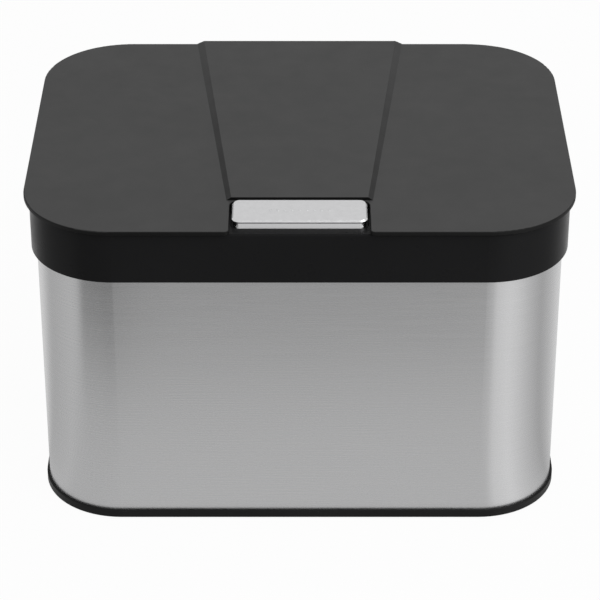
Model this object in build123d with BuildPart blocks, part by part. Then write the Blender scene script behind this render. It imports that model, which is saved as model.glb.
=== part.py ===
from build123d import *
import os

os.makedirs("parts", exist_ok=True)

# A countertop compost caddy: a steel shell between a moulded base and collar, a
# hinged lid with a push button, and a bucket that lifts out. Lengths are in
# millimetres. The floor is z = 0, the front faces -Y, and the origin lies under
# the middle of the lid.

# ---- Driving dimensions: plan ----
lid_width = 260.0
lid_depth = 203.9
lid_corner_radius = 43.0
lid_overhang = 2.4  # lid edge past the collar
collar_wall = 2.4
shell_fit = 0.2  # clearance each side of the steel sheet
shell_thickness = 0.5
seam_width = 0.4
seam_depth = 0.2
base_overhang = 1.3  # base ring past the shell

# ---- Driving dimensions: heights, from the floor upward ----
foot_stand_off = 0.8
base_ring_height = 4.0
shell_height = 143.8
deck_thickness = 2.2
collar_rise = 8.6  # collar wall above the deck
lid_gap = 1.0
lid_edge_thickness = 1.9
panel_rise = 1.6

# ---- Driving dimensions: base and feet ----
base_floor = 2.5
base_edge_round = 0.6
sleeve_wall = 2.0  # base and collar walls inside the shell
sleeve_height = 12.0
foot_diameter = 18.0
foot_recess = 1.2
foot_fit = 0.1
foot_edge_round = 0.4
foot_inset = 30.0  # foot centre from the base's sides
rib_thickness = 1.6
rib_pitch = 44.0
rib_count = 5

# ---- Driving dimensions: collar ----
collar_skirt = 14.4  # outer wall below the shell's top edge
collar_edge_round = 1.0
pocket_wall = 2.0
pocket_drop = 2.6  # pocket floor below the deck's underside
pocket_floor = 2.0

# ---- Driving dimensions: bucket ----
bucket_side_margin = 12.0
bucket_rear_margin = 17.0
bucket_corner_radius = 22.0
bucket_floor_corner_radius = 19.0
bucket_wall = 1.8
bucket_draft = 5.0  # narrowing of each side from mouth to floor
bucket_clearance = 0.5
bucket_floor_gap = 0.4
bucket_floor_radius = 5.0
bucket_bottom_height = 8.0
rim_width = 5.0
rim_thickness = 2.0
rim_edge_round = 0.6

# ---- Driving dimensions: raised panel of the lid ----
panel_front_half_width = 32.0  # top edge of the panel at the notch
panel_rear_half_width = 50.0
panel_front_slope = 2.2
panel_rear_slope = 3.5
panel_wall = 2.0
panel_hollow_end = 10.0  # solid lid behind the hollow under the panel
lid_edge_round = 0.5
notch_rear_radius = 5.0
notch_front_radius = 2.0

# ---- Driving dimensions: push button and latch ----
button_width = 62.6
button_depth = 20.9
button_setback = 8.4  # button front behind the lid's front edge
button_corner_radius = 3.5
button_height = 4.2
button_wall = 1.5
button_proud = 1.2
button_edge_chamfer = 0.7
button_skirt_inset = 0.6  # skirt behind the edge of the button's top plate
button_skirt_slope = 0.7  # front of the skirt, further in at its top
button_travel = 3.0
notch_gap = 1.3
pocket_clearance = 0.6
carrier_flange = 2.0
carrier_clearance = 0.25
cap_fit = 0.1
pip_radius = 0.6
pip_height = 0.25
pip_pitch = 3.4
pip_count = 9
post_radius = 1.5
post_spacing = 44.0
post_head_radius = 2.1
post_head_height = 1.5
post_head_chamfer = 0.5
post_head_gap = 0.3
running_fit = 0.1
spring_inner_radius = 1.9
spring_outer_radius = 2.8
latch_travel = 3.0
bolt_width = 18.0
bolt_thickness = 2.0
bolt_tail = 6.0  # bolt in front of the blade's slot
bolt_lift = 1.2  # bolt above the pocket floor
rail_width = 2.5
nose_width = 10.0
blade_width = 6.0
blade_thickness = 2.0
blade_setback = 8.0  # blade in front of the pocket's rear wall
blade_end_gap = 0.3
blade_slot_gap = 0.6
shoulder_gap = 0.5
guide_thickness = 1.5
guide_length = 4.0
guide_leg = 3.0
guide_foot = 5.0
latch_screw_radius = 1.0
latch_screw_head_radius = 1.9
latch_screw_head_height = 1.2
catch_thickness = 1.5
catch_width = 18.0
catch_flange = 8.0
catch_clearance = 0.8
catch_fit = 0.1
catch_end = 1.6  # catch below its window
catch_window_gap = 0.6
catch_room = 12.0  # pocket's rear wall to the bucket

# ---- Driving dimensions: hinge ----
pin_radius = 1.5
knuckle_radius = 3.2
knuckle_lid_gap = 0.6
hinge_inset = 0.15
knuckle_gap = 0.4
center_knuckle_length = 16.0
outer_knuckle_length = 12.0
lid_knuckle_length = 16.0
lid_spring_length = 19.0
lid_spring_inner_radius = 1.9
lid_spring_outer_radius = 2.7
window_margin = 1.4  # rear wall's window below the knuckles
press_clearance = 0.02

# ---- Driving dimensions: lid liner, seal and filter ----
liner_wall = 2.0
liner_plate = 2.0
liner_drop = 2.0  # space between cover and liner plate
liner_clearance = 1.2
liner_rear_gap = 9.8  # liner's rear edge behind the lid's rear edge
liner_notch_gap = 0.6
seal_width = 3.0
seal_groove = 0.8
seal_fit = 0.1
seal_gap = 0.3
filter_width = 96.0
filter_length = 64.0
filter_thickness = 6.0
filter_corner_radius = 3.0
filter_center_y = 8.0
filter_fit = 0.3
frame_wall = 1.6
door_thickness = 2.4
trunnion_radius = 1.0
tab_width = 18.0
tab_reach = 2.4
vent_length = 24.0
vent_width = 3.0
vent_columns = 3
vent_rows = 7
vent_pitch_x = 29.0
vent_pitch_y = 7.5
lid_screw_radius = 1.4
lid_screw_head_radius = 2.7
lid_screw_head_height = 1.3
lid_screw_bite = 0.9  # screw tip into the cover above its bosses
boss_radius = 4.0
screw_fit = 0.05
screw_slot_width = 0.7
screw_slot_depth = 0.6
lid_screw_front_x = 70.0
lid_screw_front_inset = 14.0  # front screws behind the liner's front
lid_screw_side_inset = 22.0  # side screws from the liner's sides
lid_screw_end_inset = 13.0  # end screws of the side rows from the bucket's ends

# ---- Plan sizes that follow ----
collar_width = lid_width - 2 * lid_overhang
collar_depth = lid_depth - 2 * lid_overhang
collar_radius = lid_corner_radius - lid_overhang
shell_width = collar_width - 2 * (collar_wall + shell_fit)
shell_depth = collar_depth - 2 * (collar_wall + shell_fit)
shell_radius = collar_radius - collar_wall - shell_fit
sleeve_inset = shell_thickness + shell_fit
lid_front_y = -lid_depth / 2
lid_rear_y = lid_depth / 2

# ---- Heights that follow ----
base_bottom_z = foot_stand_off
base_top_z = base_bottom_z + base_ring_height
deck_bottom_z = base_top_z + shell_height
deck_top_z = deck_bottom_z + deck_thickness
collar_bottom_z = deck_bottom_z - collar_skirt
collar_top_z = deck_top_z + collar_rise
lid_bottom_z = collar_top_z + lid_gap
lid_top_z = lid_bottom_z + lid_edge_thickness
panel_top_z = lid_top_z + panel_rise
rim_top_z = deck_top_z + rim_thickness
bucket_bottom_z = bucket_bottom_height

# ---- Button, pocket and latch places that follow ----
button_front_y = lid_front_y + button_setback
button_rear_y = button_front_y + button_depth
button_center_y = (button_front_y + button_rear_y) / 2
button_top_z = lid_top_z + button_proud
button_bottom_z = button_top_z - button_height
notch_half_width = button_width / 2 + notch_gap
notch_rear_y = button_rear_y + notch_gap
pocket_width = button_width + 2 * pocket_clearance
pocket_depth = button_depth + 2 * pocket_clearance
pocket_radius = button_corner_radius + pocket_clearance
pocket_rear_y = button_rear_y + pocket_clearance
pocket_back_face_y = pocket_rear_y + pocket_wall
pocket_floor_z = deck_bottom_z - pocket_drop
pocket_bottom_z = pocket_floor_z - pocket_floor
button_plate_z = button_top_z - button_wall
flange_bottom_z = button_bottom_z - carrier_flange
bolt_bottom_z = pocket_floor_z + bolt_lift
bolt_top_z = bolt_bottom_z + bolt_thickness
blade_y = pocket_rear_y - blade_setback
blade_lean = latch_travel / button_travel
catch_front_y = pocket_back_face_y + catch_clearance

# ---- Bucket places that follow ----
bucket_front_y = pocket_back_face_y + catch_room
bucket_rear_y = shell_depth / 2 - bucket_rear_margin
bucket_center_y = (bucket_front_y + bucket_rear_y) / 2
bucket_depth = bucket_rear_y - bucket_front_y
bucket_width = shell_width - 2 * bucket_side_margin

# ---- Hinge places that follow ----
hinge_y = lid_rear_y - knuckle_radius - hinge_inset
hinge_z = lid_bottom_z - knuckle_lid_gap - knuckle_radius
spring_start_x = center_knuckle_length / 2 + knuckle_gap
lid_knuckle_start_x = spring_start_x + lid_spring_length + knuckle_gap
outer_knuckle_start_x = lid_knuckle_start_x + lid_knuckle_length + knuckle_gap
pin_half_length = outer_knuckle_start_x + outer_knuckle_length

# ---- Lid liner, seal and filter places that follow ----
liner_top_z = lid_bottom_z - liner_drop
liner_bottom_z = liner_top_z - liner_plate
liner_width = collar_width - 2 * (collar_wall + liner_clearance)
liner_radius = collar_radius - collar_wall - liner_clearance
liner_front_y = -(collar_depth / 2 - collar_wall - liner_clearance)
liner_rear_y = lid_rear_y - liner_rear_gap
liner_depth = liner_rear_y - liner_front_y
liner_center_y = (liner_front_y + liner_rear_y) / 2
liner_notch_rear_y = pocket_back_face_y + liner_notch_gap
liner_notch_half_width = pocket_width / 2 + pocket_wall + liner_notch_gap
seal_margin = (rim_width - seal_width) / 2
seal_bottom_z = rim_top_z + seal_gap
seal_top_z = liner_bottom_z + seal_groove
filter_top_z = liner_bottom_z - filter_fit
filter_bottom_z = filter_top_z - filter_thickness
door_top_z = filter_bottom_z - filter_fit
door_bottom_z = door_top_z - door_thickness
door_axis_z = (door_top_z + door_bottom_z) / 2
door_axis_y = filter_center_y + filter_length / 2 + filter_fit + door_thickness / 2
door_front_y = filter_center_y - filter_length / 2
frame_front_y = door_front_y - filter_fit
frame_rear_y = door_axis_y + door_thickness / 2 + filter_fit
frame_width = filter_width + 2 * filter_fit
frame_depth = frame_rear_y - frame_front_y
frame_center_y = (frame_front_y + frame_rear_y) / 2
door_width = frame_width - 2 * filter_fit
seal_width_x = bucket_width + 2 * (rim_width - seal_margin)
seal_depth_y = bucket_depth + 2 * (rim_width - seal_margin)
seal_radius = bucket_corner_radius + rim_width - seal_margin
lid_screw_side_x = liner_width / 2 - lid_screw_side_inset
lid_screw_pitch = bucket_depth / 2 - lid_screw_end_inset
lid_screw_front_y = liner_front_y + lid_screw_front_inset
lid_screw_places = [
    (-lid_screw_front_x, lid_screw_front_y),
    (lid_screw_front_x, lid_screw_front_y),
    (-lid_screw_side_x, bucket_center_y - lid_screw_pitch),
    (-lid_screw_side_x, bucket_center_y),
    (-lid_screw_side_x, bucket_center_y + lid_screw_pitch),
    (lid_screw_side_x, bucket_center_y - lid_screw_pitch),
    (lid_screw_side_x, bucket_center_y),
    (lid_screw_side_x, bucket_center_y + lid_screw_pitch),
]

# ---- Base: a shallow tray whose ring carries the shell, with ribs under the bucket ----
base_width = shell_width + 2 * base_overhang
base_depth = shell_depth + 2 * base_overhang
base_radius = shell_radius + base_overhang
floor_top_z = base_bottom_z + base_floor
sleeve_width = shell_width - 2 * sleeve_inset
sleeve_depth = shell_depth - 2 * sleeve_inset
sleeve_radius = shell_radius - sleeve_inset
foot_x = base_width / 2 - foot_inset
foot_y = base_depth / 2 - foot_inset

with BuildPart() as base_tray:
    with BuildSketch(Plane.XY.offset(base_bottom_z)):
        RectangleRounded(base_width, base_depth, base_radius)
    extrude(amount=base_ring_height)
    fillet(base_tray.faces().sort_by(Axis.Z)[0].edges(), base_edge_round)
    with BuildSketch(Plane.XY.offset(base_top_z)):
        RectangleRounded(sleeve_width, sleeve_depth, sleeve_radius)
    extrude(amount=sleeve_height)
    with BuildSketch(Plane.XY.offset(floor_top_z)):
        RectangleRounded(
            sleeve_width - 2 * sleeve_wall, sleeve_depth - 2 * sleeve_wall, sleeve_radius - sleeve_wall
        )
    extrude(amount=base_top_z + sleeve_height - floor_top_z, mode=Mode.SUBTRACT)
    with BuildSketch(Plane.XY.offset(floor_top_z)):
        with Locations((0, bucket_center_y)):
            with GridLocations(rib_pitch, 0, rib_count, 1):
                Rectangle(rib_thickness, bucket_depth - 2 * bucket_draft)
    extrude(amount=bucket_bottom_z - bucket_floor_gap - floor_top_z)
    with BuildSketch(Plane.XY.offset(base_bottom_z)):
        with GridLocations(2 * foot_x, 2 * foot_y, 2, 2):
            Circle(foot_diameter / 2 + foot_fit)
    extrude(amount=foot_recess, mode=Mode.SUBTRACT)
base_tray.part.label = "base_tray"
export_step(base_tray.part, "parts/base_tray.step")

# ---- Feet: rubber pads set into the base's underside ----
foot_places = {
    "foot_front_left": (-foot_x, -foot_y),
    "foot_front_right": (foot_x, -foot_y),
    "foot_rear_left": (-foot_x, foot_y),
    "foot_rear_right": (foot_x, foot_y),
}
for foot_name, foot_place in foot_places.items():
    with BuildPart() as foot:
        with BuildSketch(Plane.XY):
            with Locations(foot_place):
                Circle(foot_diameter / 2)
        extrude(amount=foot_stand_off + foot_recess)
        fillet(foot.faces().sort_by(Axis.Z)[0].edges(), foot_edge_round)
    foot.part.label = foot_name
    export_step(foot.part, f"parts/{foot_name}.step")

# ---- Shell: one wrapped sheet of steel, butt-seamed down the middle of the rear ----
with BuildPart() as steel_shell:
    with BuildSketch(Plane.XY.offset(base_top_z)):
        RectangleRounded(shell_width, shell_depth, shell_radius)
        RectangleRounded(
            shell_width - 2 * shell_thickness,
            shell_depth - 2 * shell_thickness,
            shell_radius - shell_thickness,
            mode=Mode.SUBTRACT,
        )
    extrude(amount=shell_height)
    with BuildSketch(Plane.XY.offset(base_top_z)):
        with Locations((0, shell_depth / 2)):
            Rectangle(seam_width, 2 * seam_depth)
    extrude(amount=shell_height, mode=Mode.SUBTRACT)
steel_shell.part.label = "steel_shell"
export_step(steel_shell.part, "parts/steel_shell.step")

# ---- Collar: wall, deck, sleeve inside the shell, button pocket and hinge knuckles ----
pocket_outer_width = pocket_width + 2 * pocket_wall
pocket_block_front_y = -(collar_depth - collar_wall) / 2
pocket_lower_front_y = -(sleeve_depth - sleeve_wall) / 2
deck_slot_depth = catch_thickness + 2 * catch_clearance
window_bottom_z = hinge_z - knuckle_radius - window_margin
window_start_x = center_knuckle_length / 2
window_length = outer_knuckle_start_x - window_start_x
window_center_x = window_start_x + window_length / 2
latch_screw_x = bolt_width / 2 + running_fit + guide_leg + guide_foot / 2
guide_center_y = blade_y + (blade_thickness + guide_length) / 2
rail_x = (bolt_width - rail_width) / 2
blade_slot_rear_y = blade_y + blade_thickness / 2 + blade_slot_gap
blade_slot_length = blade_thickness + 2 * blade_slot_gap + blade_lean * button_travel

with BuildPart() as collar:
    with BuildSketch(Plane.XY.offset(collar_bottom_z)):
        RectangleRounded(collar_width, collar_depth, collar_radius)
    extrude(amount=collar_top_z - collar_bottom_z)
    fillet(collar.faces().sort_by(Axis.Z)[-1].edges(), collar_edge_round)
    # Room for the shell below the deck and for the lid's liner above it
    with BuildSketch(Plane.XY.offset(collar_bottom_z)):
        RectangleRounded(shell_width + 2 * shell_fit, shell_depth + 2 * shell_fit, shell_radius + shell_fit)
    extrude(amount=deck_bottom_z - collar_bottom_z, mode=Mode.SUBTRACT)
    with BuildSketch(Plane.XY.offset(deck_top_z)):
        RectangleRounded(
            collar_width - 2 * collar_wall, collar_depth - 2 * collar_wall, collar_radius - collar_wall
        )
    extrude(amount=collar_rise, mode=Mode.SUBTRACT)
    # Sleeve that grips the shell's top edge from inside
    with BuildSketch(Plane.XY.offset(deck_bottom_z - sleeve_height)):
        RectangleRounded(sleeve_width, sleeve_depth, sleeve_radius)
        RectangleRounded(
            sleeve_width - 2 * sleeve_wall,
            sleeve_depth - 2 * sleeve_wall,
            sleeve_radius - sleeve_wall,
            mode=Mode.SUBTRACT,
        )
    extrude(amount=sleeve_height)
    # Button pocket, a box whose front joins the sleeve below the deck and the wall above it
    with BuildSketch(Plane.XY.offset(pocket_bottom_z)):
        with Locations((0, (pocket_lower_front_y + pocket_back_face_y) / 2)):
            Rectangle(pocket_outer_width, pocket_back_face_y - pocket_lower_front_y)
    extrude(amount=deck_bottom_z - pocket_bottom_z)
    with BuildSketch(Plane.XY.offset(deck_bottom_z)):
        with Locations((0, (pocket_block_front_y + pocket_back_face_y) / 2)):
            Rectangle(pocket_outer_width, pocket_back_face_y - pocket_block_front_y)
    extrude(amount=collar_top_z - deck_bottom_z)
    with BuildSketch(Plane.XY.offset(pocket_floor_z)):
        with Locations((0, button_center_y)):
            RectangleRounded(pocket_width, pocket_depth, pocket_radius)
    extrude(amount=collar_top_z - pocket_floor_z, mode=Mode.SUBTRACT)
    # Rails that the latch bolt slides on
    with BuildSketch(Plane.XY.offset(pocket_floor_z)):
        with Locations((-rail_x, button_center_y), (rail_x, button_center_y)):
            Rectangle(rail_width, pocket_depth)
    extrude(amount=bolt_lift - running_fit)
    # Holes in the pocket's floor for the guide posts, the latch screws and the blade
    with BuildSketch(Plane.XY.offset(pocket_bottom_z)):
        with Locations((0, button_center_y)):
            with GridLocations(post_spacing, 0, 2, 1):
                Circle(post_radius + running_fit)
        with Locations((0, guide_center_y)):
            with GridLocations(2 * latch_screw_x, 0, 2, 1):
                Circle(latch_screw_radius + screw_fit)
        with Locations((0, blade_slot_rear_y - blade_slot_length / 2)):
            Rectangle(blade_width + 2 * blade_slot_gap, blade_slot_length)
    extrude(amount=pocket_floor, mode=Mode.SUBTRACT)
    # Window for the bolt's nose, and the slot in the deck for the lid's catch
    with BuildSketch(Plane.XY.offset(bolt_bottom_z - running_fit)):
        with Locations((0, pocket_rear_y + pocket_wall / 2)):
            Rectangle(nose_width + 2 * running_fit, 2 * pocket_wall)
    extrude(amount=bolt_thickness + 2 * running_fit, mode=Mode.SUBTRACT)
    with BuildSketch(Plane.XY.offset(deck_bottom_z)):
        with Locations((0, pocket_back_face_y + deck_slot_depth / 2)):
            Rectangle(catch_width + 2 * catch_clearance, deck_slot_depth)
    extrude(amount=deck_thickness, mode=Mode.SUBTRACT)
    # Mouth for the bucket
    with BuildSketch(Plane.XY.offset(deck_bottom_z)):
        with Locations((0, bucket_center_y)):
            RectangleRounded(
                bucket_width + 2 * bucket_clearance,
                bucket_depth + 2 * bucket_clearance,
                bucket_corner_radius + bucket_clearance,
            )
    extrude(amount=deck_thickness, mode=Mode.SUBTRACT)
    # Windows in the rear wall for the lid's knuckles and springs
    with BuildSketch(Plane.XY.offset(window_bottom_z)):
        with Locations((0, (collar_depth - collar_wall) / 2)):
            with GridLocations(2 * window_center_x, 0, 2, 1):
                Rectangle(window_length, 2 * collar_wall)
    extrude(amount=collar_top_z - window_bottom_z, mode=Mode.SUBTRACT)
    # Hinge knuckles on the rear wall: one in the middle, one at each end
    knuckle_spans = [
        (-window_start_x, center_knuckle_length),
        (outer_knuckle_start_x, outer_knuckle_length),
        (-pin_half_length, outer_knuckle_length),
    ]
    for knuckle_start_x, knuckle_length in knuckle_spans:
        with BuildSketch(Plane.YZ.offset(knuckle_start_x)):
            with Locations((hinge_y, hinge_z)):
                Circle(knuckle_radius)
        extrude(amount=knuckle_length)
    with BuildSketch(Plane.YZ):
        with Locations((hinge_y, hinge_z)):
            Circle(pin_radius + press_clearance)
    extrude(amount=pin_half_length, both=True, mode=Mode.SUBTRACT)
collar.part.label = "collar"
export_step(collar.part, "parts/collar.step")

# ---- Bucket: tapered tub that hangs on its rim in the collar's mouth ----
with BuildPart() as inner_bucket:
    with BuildSketch(Plane.XY.offset(bucket_bottom_z)):
        with Locations((0, bucket_center_y)):
            RectangleRounded(
                bucket_width - 2 * bucket_draft, bucket_depth - 2 * bucket_draft, bucket_floor_corner_radius
            )
    with BuildSketch(Plane.XY.offset(rim_top_z)):
        with Locations((0, bucket_center_y)):
            RectangleRounded(bucket_width, bucket_depth, bucket_corner_radius)
    loft()
    fillet(inner_bucket.faces().sort_by(Axis.Z)[0].edges(), bucket_floor_radius)
    with BuildSketch(Plane.XY.offset(deck_top_z)):
        with Locations((0, bucket_center_y)):
            RectangleRounded(
                bucket_width + 2 * rim_width, bucket_depth + 2 * rim_width, bucket_corner_radius + rim_width
            )
    extrude(amount=rim_thickness)
    with BuildSketch(Plane.XY.offset(bucket_bottom_z + bucket_wall)):
        with Locations((0, bucket_center_y)):
            RectangleRounded(
                bucket_width - 2 * (bucket_draft + bucket_wall),
                bucket_depth - 2 * (bucket_draft + bucket_wall),
                bucket_floor_corner_radius - bucket_wall,
            )
    with BuildSketch(Plane.XY.offset(rim_top_z)):
        with Locations((0, bucket_center_y)):
            RectangleRounded(
                bucket_width - 2 * bucket_wall,
                bucket_depth - 2 * bucket_wall,
                bucket_corner_radius - bucket_wall,
            )
    loft(mode=Mode.SUBTRACT)
    bucket_floor_face = inner_bucket.faces().filter_by(Axis.Z).sort_by(Axis.Z)[1]
    fillet(bucket_floor_face.edges(), bucket_floor_radius - bucket_wall)
    rim_top_face = inner_bucket.faces().sort_by(Axis.Z)[-1]
    fillet(rim_top_face.outer_wire().edges(), rim_edge_round)
inner_bucket.part.label = "inner_bucket"
export_step(inner_bucket.part, "parts/inner_bucket.step")

# ---- Lid cover: plate with a notch for the button, raised panel, bosses and knuckles ----
panel_depth = lid_rear_y - notch_rear_y
hollow_front_y = notch_rear_y + panel_wall
hollow_rear_y = lid_rear_y - panel_hollow_end
notch_length = notch_rear_y - lid_front_y


def panel_half_width(y):
    """Half the width of the raised panel's top at a distance y along the lid."""
    share = (y - notch_rear_y) / panel_depth
    return panel_front_half_width + share * (panel_rear_half_width - panel_front_half_width)


with BuildSketch(Plane.XY.offset(lid_bottom_z)) as notch_plan:
    with Locations((0, lid_front_y)):
        RectangleRounded(2 * notch_half_width, 2 * notch_length, notch_rear_radius)

with BuildPart() as lid_cover:
    with BuildSketch(Plane.XY.offset(lid_bottom_z)):
        RectangleRounded(lid_width, lid_depth, lid_corner_radius)
    extrude(amount=lid_edge_thickness)
    # Notch for the button, open at the front edge
    extrude(notch_plan.sketch, amount=lid_edge_thickness, mode=Mode.SUBTRACT)
    notch_front_edges = lid_cover.edges().filter_by(Axis.Z).group_by(Axis.Y)[0]
    notch_front_edges = notch_front_edges.filter_by_position(
        Axis.X, -notch_half_width - notch_gap, notch_half_width + notch_gap
    )
    fillet(notch_front_edges, notch_front_radius)
    fillet(lid_cover.faces().sort_by(Axis.Z)[-1].edges(), lid_edge_round)
    # Raised panel, widening from the notch to the rear edge, with sloped sides
    with BuildSketch(Plane.XY.offset(lid_top_z)):
        with BuildLine():
            Polyline(
                (-panel_front_half_width - panel_front_slope, notch_rear_y),
                (panel_front_half_width + panel_front_slope, notch_rear_y),
                (panel_rear_half_width + panel_rear_slope, lid_rear_y),
                (-panel_rear_half_width - panel_rear_slope, lid_rear_y),
                close=True,
            )
        make_face()
    with BuildSketch(Plane.XY.offset(panel_top_z)):
        with BuildLine():
            Polyline(
                (-panel_front_half_width, notch_rear_y),
                (panel_front_half_width, notch_rear_y),
                (panel_rear_half_width, lid_rear_y),
                (-panel_rear_half_width, lid_rear_y),
                close=True,
            )
        make_face()
    loft(ruled=True)
    # Under the panel's top the plate is solid up to the panel, without the edge's rounding
    with BuildSketch(Plane.XY.offset(lid_bottom_z)):
        with BuildLine():
            Polyline(
                (-panel_front_half_width - panel_front_slope, notch_rear_y),
                (panel_front_half_width + panel_front_slope, notch_rear_y),
                (panel_rear_half_width + panel_rear_slope, lid_rear_y),
                (-panel_rear_half_width - panel_rear_slope, lid_rear_y),
                close=True,
            )
        make_face()
    extrude(amount=lid_edge_thickness)
    # Hollow that keeps the wall even under the panel
    with BuildSketch(Plane.XY.offset(lid_bottom_z)):
        with BuildLine():
            Polyline(
                (-panel_half_width(hollow_front_y) + panel_wall, hollow_front_y),
                (panel_half_width(hollow_front_y) - panel_wall, hollow_front_y),
                (panel_half_width(hollow_rear_y) - panel_wall, hollow_rear_y),
                (-panel_half_width(hollow_rear_y) + panel_wall, hollow_rear_y),
                close=True,
            )
        make_face()
    extrude(amount=panel_rise, mode=Mode.SUBTRACT)
    # The notch cuts the panel's front end too
    extrude(notch_plan.sketch, amount=panel_top_z - lid_bottom_z, mode=Mode.SUBTRACT)
    # Bosses for the screws that hold the liner
    with BuildSketch(Plane.XY.offset(liner_top_z)):
        with Locations(lid_screw_places):
            Circle(boss_radius)
    extrude(amount=liner_drop)
    with BuildSketch(Plane.XY.offset(liner_top_z)):
        with Locations(lid_screw_places):
            Circle(lid_screw_radius + screw_fit)
    extrude(amount=liner_drop + lid_screw_bite, mode=Mode.SUBTRACT)
    # Knuckles that turn on the hinge pin
    for knuckle_start_x in (lid_knuckle_start_x, -lid_knuckle_start_x - lid_knuckle_length):
        with BuildSketch(Plane.YZ.offset(knuckle_start_x)):
            with Locations((hinge_y, hinge_z)):
                Circle(knuckle_radius)
            with Locations((hinge_y, (hinge_z + lid_bottom_z) / 2)):
                Rectangle(2 * knuckle_radius, lid_bottom_z - hinge_z)
        extrude(amount=lid_knuckle_length)
    with BuildSketch(Plane.YZ):
        with Locations((hinge_y, hinge_z)):
            Circle(pin_radius + running_fit)
    extrude(amount=pin_half_length, both=True, mode=Mode.SUBTRACT)
lid_cover.part.label = "lid_cover"
export_step(lid_cover.part, "parts/lid_cover.step")

# ---- Lid liner: plate under the cover with seal groove, vents and the filter's frame ----
catch_rear_y = catch_front_y + catch_thickness
liner_notch_length = liner_notch_rear_y - liner_front_y
frame_half_width = frame_width / 2 + frame_wall

with BuildPart() as lid_liner:
    with BuildSketch(Plane.XY.offset(liner_bottom_z)):
        with Locations((0, liner_center_y)):
            RectangleRounded(liner_width, liner_depth, liner_radius)
    extrude(amount=lid_bottom_z - liner_bottom_z)
    # Hollow above the plate, inside the walls round the edge and round the notch
    with BuildSketch(Plane.XY.offset(liner_top_z)):
        with Locations((0, liner_center_y)):
            RectangleRounded(
                liner_width - 2 * liner_wall, liner_depth - 2 * liner_wall, liner_radius - liner_wall
            )
        with Locations((0, liner_front_y)):
            Rectangle(
                2 * (liner_notch_half_width + liner_wall),
                2 * (liner_notch_length + liner_wall),
                mode=Mode.SUBTRACT,
            )
    extrude(amount=liner_drop, mode=Mode.SUBTRACT)
    with BuildSketch(Plane.XY.offset(liner_bottom_z)):
        with Locations((0, liner_front_y)):
            Rectangle(2 * liner_notch_half_width, 2 * liner_notch_length)
    extrude(amount=lid_bottom_z - liner_bottom_z, mode=Mode.SUBTRACT)
    # Slot for the catch: its leg passes the plate, its flange passes the wall
    with BuildSketch(Plane.XY.offset(liner_bottom_z)):
        with Locations((0, (liner_notch_rear_y + catch_rear_y + catch_fit) / 2)):
            Rectangle(catch_width + 2 * catch_fit, catch_rear_y + catch_fit - liner_notch_rear_y)
    extrude(amount=lid_bottom_z - liner_bottom_z, mode=Mode.SUBTRACT)
    with BuildSketch(Plane.XY.offset(liner_top_z)):
        with Locations((0, liner_notch_rear_y + liner_wall / 2)):
            Rectangle(catch_width + 2 * catch_fit, liner_wall)
    extrude(amount=liner_drop, mode=Mode.SUBTRACT)
    # Groove for the seal
    with BuildSketch(Plane.XY.offset(liner_bottom_z)):
        with Locations((0, bucket_center_y)):
            RectangleRounded(seal_width_x + 2 * seal_fit, seal_depth_y + 2 * seal_fit, seal_radius + seal_fit)
            RectangleRounded(
                seal_width_x - 2 * (seal_width + seal_fit),
                seal_depth_y - 2 * (seal_width + seal_fit),
                seal_radius - seal_width - seal_fit,
                mode=Mode.SUBTRACT,
            )
    extrude(amount=seal_groove, mode=Mode.SUBTRACT)
    # Frame for the filter, with holes for the door's trunnions and a gap for its tab
    with BuildSketch(Plane.XY.offset(door_bottom_z)):
        with Locations((0, frame_center_y)):
            Rectangle(frame_width + 2 * frame_wall, frame_depth + 2 * frame_wall)
            Rectangle(frame_width, frame_depth, mode=Mode.SUBTRACT)
    extrude(amount=liner_bottom_z - door_bottom_z)
    with BuildSketch(Plane.YZ):
        with Locations((door_axis_y, door_axis_z)):
            Circle(trunnion_radius + running_fit)
    extrude(amount=frame_half_width, both=True, mode=Mode.SUBTRACT)
    with BuildSketch(Plane.XY.offset(door_bottom_z)):
        with Locations((0, frame_front_y - frame_wall / 2)):
            Rectangle(tab_width + 2 * filter_fit, 2 * frame_wall)
    extrude(amount=door_thickness + filter_fit, mode=Mode.SUBTRACT)
    # Vents over the filter, and holes for the lid's screws
    with BuildSketch(Plane.XY.offset(liner_bottom_z)):
        with Locations((0, filter_center_y)):
            with GridLocations(vent_pitch_x, vent_pitch_y, vent_columns, vent_rows):
                SlotOverall(vent_length, vent_width)
        with Locations(lid_screw_places):
            Circle(lid_screw_radius + screw_fit)
    extrude(amount=liner_plate, mode=Mode.SUBTRACT)
lid_liner.part.label = "lid_liner"
export_step(lid_liner.part, "parts/lid_liner.step")

# ---- Lid seal: soft ring over the bucket's rim ----
with BuildPart() as lid_seal:
    with BuildSketch(Plane.XY.offset(seal_bottom_z)):
        with Locations((0, bucket_center_y)):
            RectangleRounded(seal_width_x, seal_depth_y, seal_radius)
            RectangleRounded(
                seal_width_x - 2 * seal_width,
                seal_depth_y - 2 * seal_width,
                seal_radius - seal_width,
                mode=Mode.SUBTRACT,
            )
    extrude(amount=seal_top_z - seal_bottom_z)
lid_seal.part.label = "lid_seal"
export_step(lid_seal.part, "parts/lid_seal.step")

# ---- Lid catch: steel angle whose flange lies on the liner and whose leg holds the bolt's nose ----
catch_bottom_z = bolt_bottom_z - catch_end

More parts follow.
